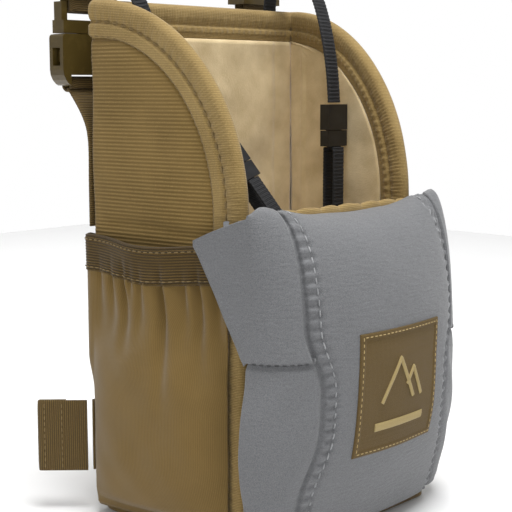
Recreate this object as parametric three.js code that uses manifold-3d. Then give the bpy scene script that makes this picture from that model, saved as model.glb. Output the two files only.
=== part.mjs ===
// Binocular harness pack: an open-topped chest pack with tall side wings, stretch side pockets, a padded grey
// front cover that tips forward on a sewn hinge, magnetic ears, shoulder buckles and two quick-release tethers.
// Units are millimetres. +Z is up, -Y is the front, +X is the right-hand side seen from the front.
// The origin is on the underside of the bottom panel, midway between the wings.
import * as THREE from "three";
import { mergeVertices } from "three/addons/utils/BufferGeometryUtils.js";
import Module from "manifold-3d";

const wasm = await Module();
wasm.setup();

// ---------------------------------------------------------------- driving dimensions
const HEIGHT = 264; // bottom panel to the top of the rim
const REAR_HALF = 76.5; // half width across the wings at the back
const FRONT_HALF = 65.5; // half width across the wings at the front
const WING_REAR_Y = 52;
const WING_FRONT_Y = -40;
const RIM_START = 160; // height where the wings begin to curve back
const BAND = 19; // width of the padded rim band
const WALL = 4.5; // padded wall
const LINING = 1.2;
const GAP = 0.4; // clearance between sewn layers
const BASE = 3; // bottom panel thickness
const BACK_Y = 57; // rear face of the back panel
const WALL_BOTTOM = BASE + GAP;

const COVER_REAR_Y = -50; // rear edge of the cover's side returns
const COVER_HALF = 73; // half width of the cover above its belly
const COVER_DEPTH = 33; // from the side returns' rear edge to the front of the bulge
const COVER_TOP = 146; // top of the cover's walls, under the bolster
const COVER_CREST = 158.5; // top of the bolster at its middle

const POCKET = { bottom: 9, top: 128, mouth: 146, front: 88 };
const STRAP = { x: 64.5, y: 75, barZ: 222 }; // shoulder buckle: centre and the socket's webbing bar
const BUCKLE_Z = STRAP.barZ + 12.4; // buckle's own origin
const WEB = 1.6; // thickness of the wide webbing
const TETHER = { width: 10, thick: 1.4 };

// ---------------------------------------------------------------- materials
const fabric = (color, roughness = 0.9) => new THREE.MeshStandardMaterial({ color, roughness, metalness: 0 });
const MATERIAL = {
  ribbed: fabric(0x86704a),
  band: fabric(0x927a50),
  stretch: fabric(0x84693c),
  elastic: fabric(0x6d5527, 0.8),
  lining: fabric(0xb39b6c),
  grey: fabric(0x6d6f75, 0.85),
  foam: fabric(0x3a3a3c, 0.95),
  mesh: fabric(0x5c4b2c),
  tanWeb: fabric(0x735c2c, 0.75),
  blackWeb: fabric(0x17171a, 0.7),
  patch: fabric(0x6b5322, 0.8),
  tanPlastic: new THREE.MeshStandardMaterial({ color: 0x5f4d22, roughness: 0.45 }),
  blackPlastic: new THREE.MeshStandardMaterial({ color: 0x101012, roughness: 0.4 }),
  board: new THREE.MeshStandardMaterial({ color: 0x2b2b2b, roughness: 0.5 }),
  magnet: new THREE.MeshStandardMaterial({ color: 0x8d8f92, roughness: 0.35, metalness: 1 }),
};

// ---------------------------------------------------------------- geometry helpers
const smooth = (a, b, t) => THREE.MathUtils.smoothstep(t, a, b);
const mix = THREE.MathUtils.lerp;

// A closed geometry from points and triangles, turned so that its faces point out.
function closed(points, triangles) {
  let volume = 0;
  for (const [a, b, c] of triangles) volume += points[a].dot(points[b].clone().cross(points[c]));
  const facing = volume < 0 ? triangles.map(([a, b, c]) => [a, c, b]) : triangles;
  const geometry = new THREE.BufferGeometry().setFromPoints(points);
  return geometry.setIndex(facing.flat());
}

// A sheet with thickness: outer(u, v) and inner(u, v) are its two faces, for u and v from 0 to 1.
function sheet(outer, inner, across, up) {
  const points = [];
  const triangles = [];
  for (const face of [outer, inner])
    for (let j = 0; j <= up; j++) for (let i = 0; i <= across; i++) points.push(face(i / across, j / up));
  const at = (f, i, j) => f * (across + 1) * (up + 1) + j * (across + 1) + i;
  const quad = (a, b, c, d) => triangles.push([a, b, c], [a, c, d]);
  for (let j = 0; j < up; j++)
    for (let i = 0; i < across; i++) {
      quad(at(0, i, j), at(0, i + 1, j), at(0, i + 1, j + 1), at(0, i, j + 1));
      quad(at(1, i, j), at(1, i, j + 1), at(1, i + 1, j + 1), at(1, i + 1, j));
    }
  for (let i = 0; i < across; i++) {
    quad(at(0, i, 0), at(1, i, 0), at(1, i + 1, 0), at(0, i + 1, 0));
    quad(at(0, i, up), at(0, i + 1, up), at(1, i + 1, up), at(1, i, up));
  }
  for (let j = 0; j < up; j++) {
    quad(at(0, 0, j), at(0, 0, j + 1), at(1, 0, j + 1), at(1, 0, j));
    quad(at(0, across, j), at(1, across, j), at(1, across, j + 1), at(0, across, j + 1));
  }
  return closed(points, triangles);
}

// A flat strap of constant width along a path. side(k) is the width direction at point k.
function ribbon(path, width, thick, side) {
  const rings = path.map((p, k) => {
    const before = path[Math.max(k - 1, 0)];
    const after = path[Math.min(k + 1, path.length - 1)];
    const along = after.clone().sub(before).normalize();
    const wide = side.clone().addScaledVector(along, -side.dot(along)).normalize();
    const normal = along.clone().cross(wide).normalize();
    return [[-1, -1], [1, -1], [1, 1], [-1, 1]].map(([a, b]) =>
      p.clone().addScaledVector(wide, (a * width) / 2).addScaledVector(normal, (b * thick) / 2));
  });
  const triangles = [[0, 1, 2], [0, 2, 3]];
  for (let k = 0; k + 1 < rings.length; k++)
    for (let i = 0; i < 4; i++) {
      const j = (i + 1) % 4;
      triangles.push([4 * k + i, 4 * k + 4 + i, 4 * k + 4 + j], [4 * k + i, 4 * k + 4 + j, 4 * k + j]);
    }
  const last = 4 * (rings.length - 1);
  triangles.push([last, last + 2, last + 1], [last, last + 3, last + 2]);
  return closed(rings.flat(), triangles);
}

// An outline of [x, y] points extruded from depth a to depth b along local Z.
function slab(outline, a, b, hole) {
  const shape = new THREE.Shape(outline.map(([x, y]) => new THREE.Vector2(x, y)));
  if (hole) shape.holes.push(new THREE.Path(hole.map(([x, y]) => new THREE.Vector2(x, y))));
  return new THREE.ExtrudeGeometry(shape, { depth: b - a, bevelEnabled: false }).translate(0, 0, a);
}

// The same for an outline in the XZ plane, extruded along Y, and in the YZ plane, extruded along X.
const slabXZ = (outline, a, b, hole) => slab(outline, -b, -a, hole).rotateX(Math.PI / 2);
const slabYZ = (outline, a, b, hole) => slab(outline, a, b, hole).rotateY(Math.PI / 2).rotateX(Math.PI / 2);

const block = (x, y, z) =>
  new THREE.BoxGeometry(x[1] - x[0], y[1] - y[0], z[1] - z[0]).translate(
    (x[0] + x[1]) / 2, (y[0] + y[1]) / 2, (z[0] + z[1]) / 2);

function solid(geometry) {
  const bare = new THREE.BufferGeometry().setAttribute("position", geometry.getAttribute("position"));
  if (geometry.index) bare.setIndex(geometry.index);
  const merged = mergeVertices(bare, 1e-4);
  return new wasm.Manifold(new wasm.Mesh({
    numProp: 3,
    vertProperties: new Float32Array(merged.attributes.position.array),
    triVerts: new Uint32Array(merged.index.array),
  }));
}

function geometryOf(made) {
  const mesh = made.getMesh();
  return new THREE.BufferGeometry()
    .setAttribute("position", new THREE.BufferAttribute(mesh.vertProperties, 3))
    .setIndex(new THREE.BufferAttribute(mesh.triVerts, 1));
}

const cut = (base, ...tools) => geometryOf(tools.reduce((s, t) => s.subtract(solid(t)), solid(base)));
const join = (...pieces) => geometryOf(pieces.map(solid).reduce((a, b) => a.add(b)));

function mesh(name, geometry, material) {
  const made = new THREE.Mesh(geometry, material);
  made.name = name;
  return made;
}

// Points of an arc in the plane, from angle a to angle b in degrees.
function arc(cx, cy, rx, ry, a, b, steps) {
  return Array.from({ length: steps + 1 }, (_, k) => {
    const t = THREE.MathUtils.degToRad(mix(a, b, k / steps));
    return [cx + rx * Math.cos(t), cy + ry * Math.sin(t)];
  });
}

// A racetrack outline, long along the second axis, from low to high.
const racetrack = (centre, half, low, high, steps = 6) => [
  ...arc(centre, high - half, half, half, 0, 180, steps),
  ...arc(centre, low + half, half, half, 180, 360, steps),
];

// ---------------------------------------------------------------- wings, in the wing's own frame
// Local X runs from the rear edge to the front, local Y is up, and local Z points into the bay.
const wingRun = new THREE.Vector3(FRONT_HALF - REAR_HALF, WING_FRONT_Y - WING_REAR_Y, 0);
const WING_LENGTH = wingRun.length();
const wingFrame = new THREE.Matrix4().makeBasis(
  wingRun.clone().normalize(),
  new THREE.Vector3(0, 0, 1),
  wingRun.clone().normalize().cross(new THREE.Vector3(0, 0, 1)));

const RIM_RISE = HEIGHT - RIM_START;
const rimCurve = (inset, rear) => {
  const a = WING_LENGTH - inset;
  const b = RIM_RISE - inset;
  const end = THREE.MathUtils.radToDeg(Math.acos(rear / a));
  return arc(0, RIM_START, a, b, 0, end, 12);
};
const MAGNET = { along: 83, up: 152, radius: 6.5, thick: 1.6 };

function disc(radius, from, to, x, y) {
  return new THREE.CylinderGeometry(radius, radius, to - from, 20).rotateX(Math.PI / 2).translate(x, y, (from + to) / 2);
}

function wingParts(side) {
  const rear = 1.6;
  const inner = [[rear, WALL_BOTTOM], [WING_LENGTH - BAND - GAP, WALL_BOTTOM], ...rimCurve(BAND + GAP, rear)];
  const liningRear = 4;
  const liningOutline = [
    [liningRear, WALL_BOTTOM], [WING_LENGTH - BAND - GAP, WALL_BOTTOM], ...rimCurve(BAND + GAP, liningRear)];
  const bandOutline = [
    [WING_LENGTH, WALL_BOTTOM], ...rimCurve(0, 2.2), ...rimCurve(BAND, 2.2).reverse(), [WING_LENGTH - BAND, WALL_BOTTOM]];
  const magnetSeat = disc(MAGNET.radius + 0.3, -1.1, MAGNET.thick, MAGNET.along, MAGNET.up);
  const band = cut(slab(bandOutline, -1, WALL + GAP + LINING), magnetSeat);
  return [
    mesh(`wing_${side}`, slab(inner, 0, WALL), MATERIAL.ribbed),
    mesh(`wing_lining_${side}`, slab(liningOutline, WALL + GAP, WALL + GAP + LINING), MATERIAL.lining),
    mesh(`rim_band_${side}`, band, MATERIAL.band),
    mesh(`wing_magnet_${side}`,
      disc(MAGNET.radius, -0.4, MAGNET.thick - GAP, MAGNET.along, MAGNET.up), MATERIAL.magnet),
  ];
}

// How far the pocket's outer face stands off the wing's outer face: s runs rear to front, z is the height.
const POCKET_SEAM = 3.4;
const mouthBulge = (s) => 12 * Math.sin(Math.PI * s) ** 2.2 * (1 - 0.66 * s);
const fullBulge = (s) => 12 * (1 - Math.abs(2 * s - 1) ** 3.2);
function pocketStandoff(s, z) {
  const foot = Math.sqrt(1 - (1 - Math.min(1, (z - POCKET.bottom) / 34)) ** 2);
  return POCKET_SEAM + mix(fullBulge(s) * mix(0.2, 1, foot), mouthBulge(s), smooth(70, 112, z));
}

function pocketParts(side) {
  const face = (low, high, offset) => (u, v) => {
    const z = mix(low, high, v);
    return new THREE.Vector3(mix(1, POCKET.front, u), z, -(pocketStandoff(u, z) + offset));
  };
  const bag = sheet(face(POCKET.bottom, POCKET.top, 0), face(POCKET.bottom, POCKET.top, -1.6), 14, 9);
  const low = POCKET.top + GAP;
  const elastic = sheet(face(low, POCKET.mouth, 0.6), face(low, POCKET.mouth, -1.6), 14, 1);
  return [
    mesh(`side_pocket_${side}`, bag, MATERIAL.stretch),
    mesh(`pocket_elastic_${side}`, elastic, MATERIAL.elastic),
  ];
}

// ---------------------------------------------------------------- shoulder buckle, in its own frame
// Local Z is along the strap. The socket's webbing bar is at z -12.4 and the plug's at 27.6.
const BAR = 1.6; // half thickness of a webbing bar
const SOCKET = { half: 18.5, thick: 5.5, low: -14, top: 13 };
const THROAT = { half: 15.5, thick: 3.4, floor: -4 };
const PLUG_BAR = 27.6;
const EYE = 13.3; // half width of the webbing slots
const LOOP_TOP = 74; // top of the strap's sewn loop
const LOOP_HALF = 2.5; // half the gap inside a webbing loop

function socketGeometry() {
  const { half, thick, low, top } = SOCKET;
  const outline = [
    ...arc(half - 2, top - 2, 2, 2, 0, 90, 3), ...arc(-half + 2, top - 2, 2, 2, 90, 180, 3),
    ...arc(-half + 9, low + 9, 9, 9, 180, 270, 5), ...arc(half - 9, low + 9, 9, 9, 270, 360, 5)];
  const throat = block([-THROAT.half, THROAT.half], [-THROAT.thick, THROAT.thick], [THROAT.floor, top + 1]);
  const windows = block([-half - 1, half + 1], [-3, 3], [-3, 6]);
  const slot = block([-EYE, EYE], [-thick - 1, thick + 1], [low + 2 * BAR, -7.6]);
  const front = block([-EYE, EYE], [-thick - 1, -BAR], [low - 1, low + 2 * BAR + 1]);
  const rear = block([-EYE, EYE], [BAR, thick + 1], [low - 1, low + 2 * BAR + 1]);
  return cut(slabXZ(outline, -thick, thick), throat, windows, slot, front, rear);
}

function plugGeometry() {
  const body = block([-17, 17], [-4.5, 4.5], [SOCKET.top + GAP, 20]);
  const guide = block([-3, 3], [-2.2, 2.2], [-2, SOCKET.top + 1]);
  const rails = [-1, 1].map((k) => block([15.15 * k - 1.85, 15.15 * k + 1.85], [-3, 3], [19, PLUG_BAR + BAR]));
  const bar = block([-15, 15], [-BAR, BAR], [PLUG_BAR - BAR, PLUG_BAR + BAR]);
  return join(body, guide, ...rails, bar);
}

function prongGeometry(sign) {
  const outline = [
    [8.6, 12.8], [8.6, -3.4], [12.4, -3.4], [15, -0.6], [15, 4.6], [12.4, 6.4], [12, 12.8]];
  return slabXZ(outline.map(([x, z]) => [sign * x, z]), -2.4, 2.4);
}

function buckleParts(side) {
  const group = new THREE.Group();
  group.position.set(STRAP.x, STRAP.y, BUCKLE_Z);
  const half = LOOP_HALF + WEB;
  const loop = slabYZ(
    racetrack(0, half, PLUG_BAR - half, LOOP_TOP), -12.5, 12.5,
    racetrack(0, LOOP_HALF, PLUG_BAR - LOOP_HALF, LOOP_TOP - WEB));
  const keeper = cut(
    block([-15.3, 15.3], [-6.6, 6.6], [34, 40]), block([-12.9, 12.9], [-half - GAP, half + GAP], [33, 41]));
  group.add(
    mesh(`buckle_socket_${side}`, socketGeometry(), MATERIAL.tanPlastic),
    mesh(`buckle_plug_${side}`, plugGeometry(), MATERIAL.tanPlastic),
    mesh(`buckle_prong_outer_${side}`, prongGeometry(1), MATERIAL.tanPlastic),
    mesh(`buckle_prong_inner_${side}`, prongGeometry(-1), MATERIAL.tanPlastic),
    mesh(`shoulder_strap_${side}`, loop, MATERIAL.tanWeb),
    mesh(`strap_keeper_${side}`, keeper, MATERIAL.tanPlastic));
  return group;
}

// The webbing that holds the socket: sewn flat on the back panel, then out to an eye round the socket's bar.
function anchorGeometry() {
  const y = BACK_Y + GAP;
  const eye = [STRAP.y, STRAP.barZ];
  const neck = [[y, 150], [y + 2 * WEB, 150], [y + 2 * WEB, 194], [y + 8, 207], [eye[0] - 1, eye[1] - 3.9],
    [eye[0] - 3.6, eye[1] - 1.4], [y + 4.4, 209.5], [y, 196]];
  const ring = slabYZ(arc(...eye, 4.1, 4.1, 0, 345, 23), STRAP.x - 12.5, STRAP.x + 12.5,
    arc(...eye, 2.5, 2.5, 0, 345, 23));
  return join(slabYZ(neck, STRAP.x - 12.5, STRAP.x + 12.5), ring);
}

// ---------------------------------------------------------------- side webbing tab
const TAB = { low: 21, high: 59, hinge: [79, 59.5] };
function tabGeometry() {
  const y = BACK_Y + GAP;
  const end = new THREE.Vector2(97.5, 78.5);
  const bend = new THREE.Vector2(...TAB.hinge);
  const along = end.clone().sub(bend).normalize();
  const out = new THREE.Vector2(-along.y, along.x); // towards the rear
  const point = (s, t) => bend.clone().addScaledVector(along, s).addScaledVector(out, t).toArray();
  const reach = end.distanceTo(bend);
  const outline = [point(0.6, -WEB), point(reach, -WEB), point(reach, WEB), point(reach - 15, WEB), point(reach - 15.5, 0),
    point(0.6, 0)];
  const fixed = [[53, y], [77.5, y], [78.6, y + 0.9], [77.6, y + 2.2], [76.8, y + WEB], [53, y + WEB]];
  return { swing: slab(outline, TAB.low, TAB.high), fixed: slab(fixed, TAB.low, TAB.high) };
}

// ---------------------------------------------------------------- ears
const EAR = { root: [70.4, -49.4], tip: [74.4, -17], thick: 3 };
function earParts(side) {
  const run = new THREE.Vector2(...EAR.tip).sub(new THREE.Vector2(...EAR.root));
  const length = run.length();
  const angle = Math.atan2(run.y, run.x);
  // Local X runs back along the ear, local Y is up and local Z points out.
  const outline = [[0, 92], [3.4, 92], [length, 147], [length - 1, 148.4], [0, 166]];
  const seat = disc(MAGNET.radius + 0.3, -0.1, MAGNET.thick, 16, 146);
  const group = new THREE.Group();
  group.quaternion.setFromRotationMatrix(new THREE.Matrix4().makeBasis(
    new THREE.Vector3(Math.cos(angle), Math.sin(angle), 0), new THREE.Vector3(0, 0, 1),
    new THREE.Vector3(Math.sin(angle), -Math.cos(angle), 0)));
  group.position.set(...EAR.root, 0);
  group.add(
    mesh(`ear_${side}`, cut(slab(outline, 0, EAR.thick), seat), MATERIAL.grey),
    mesh(`ear_magnet_${side}`, disc(MAGNET.radius, 0, MAGNET.thick - GAP, 16, 146), MATERIAL.magnet));
  return group;
}

// ---------------------------------------------------------------- one side of the pack
function sideParts(side) {
  const group = new THREE.Group();
  const wing = new THREE.Group();
  wing.position.set(REAR_HALF, WING_REAR_Y, 0);
  wing.quaternion.setFromRotationMatrix(wingFrame);
  wing.add(...wingParts(side), ...pocketParts(side));
  const tab = tabGeometry();
  group.add(
    wing,
    buckleParts(side),
    earParts(side),
    mesh(`shoulder_anchor_${side}`, anchorGeometry(), MATERIAL.tanWeb),
    mesh(`side_webbing_${side}`, tab.fixed, MATERIAL.tanWeb),
    mesh(`side_tab_${side}`, tab.swing, MATERIAL.tanWeb));
  if (side === "left") group.scale.x = -1;
  return group;
}

// ---------------------------------------------------------------- back, bottom and front wall
function backParts() {
  const top = HEIGHT - BAND;
  const plate = (half, low, high, y, thick) => block([-half, half], [y, y + thick], [low, high]);
  return [
    mesh("back_panel", plate(REAR_HALF, WALL_BOTTOM, top - GAP, BACK_Y - WALL, WALL), MATERIAL.ribbed),
    mesh("back_lining", plate(70, 8, top - GAP, BACK_Y - WALL - GAP - LINING, LINING), MATERIAL.lining),
    mesh("rim_band_back", plate(REAR_HALF, top, HEIGHT, BACK_Y - WALL - 1.2, 7), MATERIAL.band),
    mesh("back_stiffener", plate(49, 14, 228, BACK_Y + GAP, 1.2), MATERIAL.board),
    mesh("back_pad", plate(51, 12, 230, BACK_Y + 2, 4.5), MATERIAL.mesh),
  ];
}

function bottomParts() {
  const corner = (x, y, r, from) => arc(x, y, r, r, from, from + 90, 3);
  const outline = [
    ...corner(REAR_HALF - 12, BACK_Y - 12, 12, 0), ...corner(12 - REAR_HALF, BACK_Y - 12, 12, 90),
    ...corner(-52, -48, 10, 180), ...corner(52, -48, 10, 270)];
  const pad = [[67, 48], [-67, 48], [-57, -36], [57, -36]];
  return [
    mesh("bottom_panel", slab(outline, 0, BASE), MATERIAL.stretch),
    mesh("bottom_pad", slab(pad, WALL_BOTTOM, WALL_BOTTOM + 4), MATERIAL.lining),
    mesh("cover_hinge_tape", block([-56, 56], [-57, -46], [WALL_BOTTOM, WALL_BOTTOM + 1]), MATERIAL.grey),
  ];
}

function frontWallParts() {
  return [
    mesh("front_wall", block([-63, 63], [-44.5, -41], [WALL_BOTTOM, 148]), MATERIAL.stretch),
    mesh("front_wall_elastic", block([-62, 62], [-46.4, -41], [148.4, 160]), MATERIAL.band),
  ];
}

// ---------------------------------------------------------------- front cover
// Depth of the bulge in front of the side returns, and half width, at a height.
const BELLY = { z: 95, foot: 0.6, widestZ: 52, swell: 6.5, reach: 34 };
function coverDepth(z) {
  if (z < BELLY.z) return COVER_DEPTH * (1 - BELLY.foot * ((BELLY.z - z) / BELLY.z) ** 2);
  return COVER_DEPTH * (1 - ((z - BELLY.z) / (COVER_CREST - BELLY.z)) ** 2.2) ** (1 / 2.2);
}
const coverHalf = (z) => COVER_HALF + BELLY.swell * Math.exp(-(((z - BELLY.widestZ) / BELLY.reach) ** 2));

// The cover's plan is a superellipse: its outline in front of the side returns, at a share of the half width.
const PLAN_POWER = 0.93;
const planShare = (across) => (1 - Math.abs(across) ** (2 / PLAN_POWER)) ** (PLAN_POWER / 2);

// The cover's outer face moved out by offset: u runs round from the left return to the right one.
function coverPoint(u, z, offset) {
  const t = Math.PI * (1 - u);
  const power = (v) => Math.sign(v) * Math.abs(v) ** PLAN_POWER;
  return new THREE.Vector3(
    (coverHalf(z) + offset) * power(Math.cos(t)), COVER_REAR_Y - (coverDepth(z) + offset) * power(Math.sin(t)), z);
}
const COVER_BOTTOM = 6;
function coverSheet(outer, inner, high) {
  const face = (offset) => (u, v) => coverPoint(u, mix(COVER_BOTTOM, high, v), offset);
  return sheet(face(outer), face(inner), 18, 14);
}

function bolsterGeometry() {
  // A roll across the cover's top, higher at its ends.
  const low = COVER_TOP + GAP;
  const half = 66;
  const place = (u) => mix(-half, half, u);
  const crest = (x) => COVER_CREST + 6.5 * smooth(25, half, Math.abs(x));
  const front = (x) => COVER_REAR_Y - coverDepth(low) * planShare(x / COVER_HALF);
  const top = (u, v) => {
    const x = place(u);
    const a = Math.PI * v;
    const y = mix(front(x), -47.2, (1 - Math.cos(a)) / 2);
    return new THREE.Vector3(x, y, low + 1.5 + (crest(x) - low - 1.5) * Math.sin(a) ** 0.6);
  };
  const under = (u, v) => {
    const x = place(u);
    return new THREE.Vector3(x, mix(front(x), -47.2, (1 - Math.cos(Math.PI * v)) / 2), low);
  };
  return sheet(top, under, 12, 6);
}

const PATCH = { half: 31.5, low: 45, high: 106 };
function patchGeometry() {
  const face = (offset) => (u, v) => {
    const z = mix(PATCH.low, PATCH.high, v);
    const x = mix(-PATCH.half, PATCH.half, u);
    return new THREE.Vector3(x, COVER_REAR_Y - coverDepth(z) * planShare(x / coverHalf(z)) - offset, z);
  };
  return sheet(face(2.2), face(0.7), 6, 5);
}

function coverParts() {
  return [
    mesh("cover_shell", coverSheet(0, -2.4, COVER_TOP), MATERIAL.grey),
    mesh("cover_foam", coverSheet(-3, -6.6, COVER_TOP), MATERIAL.foam),
    mesh("cover_bolster", bolsterGeometry(), MATERIAL.grey),
    mesh("label_patch", patchGeometry(), MATERIAL.patch),
  ];
}

// ---------------------------------------------------------------- tethers
const point = (x, y, z) => new THREE.Vector3(x, y, z);
const RIGHT_ROUTE = [
  [61, 59.2, 240], [61, 59.2, 252], [61, 59.3, 264], [60.8, 57.6, 274], [60.4, 53, 281.5], [59.8, 46, 285.5],
  [59, 37, 284.5], [58, 28, 279], [57, 20, 270], [56.2, 14.5, 258], [55.6, 10.5, 245], [55.2, 7.5, 231],
  [55, 6, 219], [55, 5.5, 212]].map((p) => point(...p));
const PARK = point(-18, -30, 140); // bar that the left tether's loop is parked on
const LEFT_UP = point(-60, 51, 267).sub(PARK).normalize();
const onLeft = (s, sag = 0) => PARK.clone().addScaledVector(LEFT_UP, s).add(point(0, 0, -sag));
const LEFT_ROUTE = [
  ...[[-61, 59.2, 240], [-61, 59.2, 252], [-61, 59.3, 264], [-60.9, 57.8, 273], [-60.5, 53.5, 279.5],
    [-59.8, 48, 278], [-58.6, 43.5, 270.5], [-56.8, 38.5, 259]].map((p) => point(...p)),
  onLeft(126, 1.2), onLeft(108, 1.6), onLeft(90, 1), onLeft(76, 0.3), onLeft(66)];
const LUG_LOOP = 46;

// Quick-release clip in its own frame: Z points up the strap, and 0 is the joint between the halves.
function clipParts(side) {
  const socket = cut(block([-8, 8], [-3.2, 3.2], [0, 14]), block([-5.6, 5.6], [-1.9, 1.9], [-1, 9]));
  const plug = join(block([-8, 8], [-3, 3], [-9, -GAP]), block([-5.1, 5.1], [-1.5, 1.5], [-1, 8]));
  const low = -9 - GAP - LUG_LOOP;
  const loop = slabYZ(racetrack(0, 4, low, -9 - GAP, 5), -4.5, 4.5, racetrack(0, 2.8, low + 1.2, -9 - GAP - 1.2, 5));
  return [
    mesh(`tether_socket_${side}`, socket, MATERIAL.blackPlastic),
    mesh(`tether_plug_${side}`, plug, MATERIAL.blackPlastic),
    mesh(`lug_loop_${side}`, loop, MATERIAL.blackWeb),
  ];
}

function tetherParts() {
  const across = point(1, 0, 0);
  const right = new THREE.Group();
  right.position.copy(point(55, 5.5, 197));
  right.add(...clipParts("right"));
  const left = new THREE.Group();
  const wide = across.clone().addScaledVector(LEFT_UP, -across.dot(LEFT_UP)).normalize();
  left.quaternion.setFromRotationMatrix(
    new THREE.Matrix4().makeBasis(wide, LEFT_UP.clone().cross(wide), LEFT_UP));
  left.position.copy(onLeft(51));
  left.add(...clipParts("left"));
  const parkBar = join(
    block([-29, -6], [-31, -29], [139, 141]), block([-29, -26.4], [-40, -29], [138.7, 141.3]),
    block([-8.6, -6], [-40, -29], [138.7, 141.3]), block([-32, -3], [-40.6, -39.4], [134, 146]));
  return [
    right, left,
    mesh("tether_right", ribbon(RIGHT_ROUTE, TETHER.width, TETHER.thick, across), MATERIAL.blackWeb),
    mesh("tether_left", ribbon(LEFT_ROUTE, TETHER.width, TETHER.thick, across), MATERIAL.blackWeb),
    mesh("tether_park_bar", parkBar, MATERIAL.blackPlastic),
  ];
}

// ---------------------------------------------------------------- the pack
const pack = new THREE.Group();
pack.add(
  ...backParts(), ...bottomParts(), ...frontWallParts(), ...coverParts(), ...tetherParts(),
  sideParts("right"), sideParts("left"));

export default pack;
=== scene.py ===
"""Looks of the binocular harness pack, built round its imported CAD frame.

Lengths are millimetres until a mesh is made.

+Z is up, -Y is the front and +X is the right-hand side seen from the front.
Both sides come from one description: k is 1 for the right side and -1 for the left.
"""
import math

import bpy
import numpy as np
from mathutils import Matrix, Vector


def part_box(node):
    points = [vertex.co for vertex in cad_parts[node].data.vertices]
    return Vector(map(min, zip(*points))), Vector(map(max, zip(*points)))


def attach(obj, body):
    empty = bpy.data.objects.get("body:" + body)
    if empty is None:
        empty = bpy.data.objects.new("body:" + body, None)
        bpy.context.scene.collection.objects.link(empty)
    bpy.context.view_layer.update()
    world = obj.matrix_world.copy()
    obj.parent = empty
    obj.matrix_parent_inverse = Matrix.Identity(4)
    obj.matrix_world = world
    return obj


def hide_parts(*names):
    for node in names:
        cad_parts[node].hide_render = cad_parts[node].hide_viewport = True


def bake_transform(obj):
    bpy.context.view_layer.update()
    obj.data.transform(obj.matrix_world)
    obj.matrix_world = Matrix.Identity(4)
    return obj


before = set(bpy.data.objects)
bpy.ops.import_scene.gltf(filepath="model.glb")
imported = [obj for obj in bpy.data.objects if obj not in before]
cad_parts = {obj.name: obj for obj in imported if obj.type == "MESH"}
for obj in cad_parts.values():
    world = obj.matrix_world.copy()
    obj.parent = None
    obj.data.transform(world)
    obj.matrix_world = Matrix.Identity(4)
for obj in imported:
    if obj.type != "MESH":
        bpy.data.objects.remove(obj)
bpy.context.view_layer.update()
MM = 0.001
SIDES = (("right", 1), ("left", -1))


def extent(node):
    """Lowest and highest corner of a CAD node, in millimetres."""
    low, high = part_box(node)
    return np.array(low) / MM, np.array(high) / MM


# ---- driving dimensions
(_, _, WALL_BOTTOM), (REAR_HALF, BACK_Y, _) = extent("back_panel")
(_, _, BAND_LOW), (_, _, HEIGHT) = extent("rim_band_back")
BAND = HEIGHT - BAND_LOW  # width of the rim band
WING_REAR = np.array([REAR_HALF, 52.0])  # where the wing's outer face leaves the back
WING_FRONT = np.array([65.5, -40.0])  # its front edge
RIM_START = 160.0  # height where the wings begin to curve back
CORNER = 3.5  # radius of the rear corner in plan
RIB = 1.9  # spacing of the fabric's ribs

COVER_REAR_Y = -50.0  # rear edge of the cover's side returns
COVER_HALF = 73.0
COVER_DEPTH = 33.0
COVER_BOTTOM = extent("cover_shell")[0][2]
CREST = 158.5
BELLY_Z = 95.0
PLAN_POWER = 0.93
ROLL_POWER = 2 / 2.2

WING = np.linalg.norm(WING_FRONT - WING_REAR)
FORWARD = (WING_FRONT - WING_REAR) / WING  # along the right wing, towards the front
OUTWARD = np.array([-FORWARD[1], FORWARD[0]])  # square to it, away from the bay


# ---- small maths
def lerp(a, b, t):
    return a + (b - a) * t


def smooth(a, b, t):
    t = np.clip((t - a) / (b - a), 0, 1)
    return t * t * (3 - 2 * t)


def hump(x, centre, width):
    return np.exp(-(((x - centre) / width) ** 2))


def signed_power(x, power):
    return np.sign(x) * np.abs(x) ** power


def ripple(a, b, scale, seed, count=9):
    """A smooth uneven swell of about -1 to 1 over coordinates a and b, with features about scale apart."""
    rng = np.random.default_rng(seed)
    total = 0
    for _ in range(count):
        angle, phase = rng.uniform(0, 2 * np.pi, 2)
        length = scale * rng.uniform(0.7, 1.8)
        total = total + np.sin((a * np.cos(angle) + b * np.sin(angle)) * 2 * np.pi / length + phase)
    return total / (1.4 * count**0.5)


def resample(path, step, closed=False):
    """The path's points again, evenly spaced about step apart on a smooth curve through them."""
    p = np.asarray(path, float)
    if closed:
        p = np.vstack([p[-2:], p, p[:3]])
    else:
        p = np.vstack([2 * p[0] - p[1], p, 2 * p[-1] - p[-2]])
    fine = []
    for a, b, c, d in zip(p[:-3], p[1:-2], p[2:-1], p[3:]):
        for t in np.linspace(0, 1, 12, endpoint=False):
            square, cube = 2 * a - 5 * b + 4 * c - d, 3 * b - a - 3 * c + d
            fine.append(0.5 * (2 * b + (c - a) * t + square * t**2 + cube * t**3))
    if closed:
        fine = fine[12:-12]
    fine.append(p[-2] if not closed else fine[0])
    fine = np.array(fine)
    run = np.concatenate([[0], np.cumsum(np.linalg.norm(np.diff(fine, axis=0), axis=1))])
    count = max(int(round(run[-1] / step)), 2)
    at = np.linspace(0, run[-1], count + 1)[: count + (not closed)]
    return np.stack([np.interp(at, run, fine[:, i]) for i in range(3)], 1), at


# ---- materials
def linear(rgb):
    """A colour given as sRGB from 0 to 255, as linear light."""
    c = np.array(rgb) / 255
    return (*np.where(c <= 0.04045, c / 12.92, ((c + 0.055) / 1.055) ** 2.4), 1.0)


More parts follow.
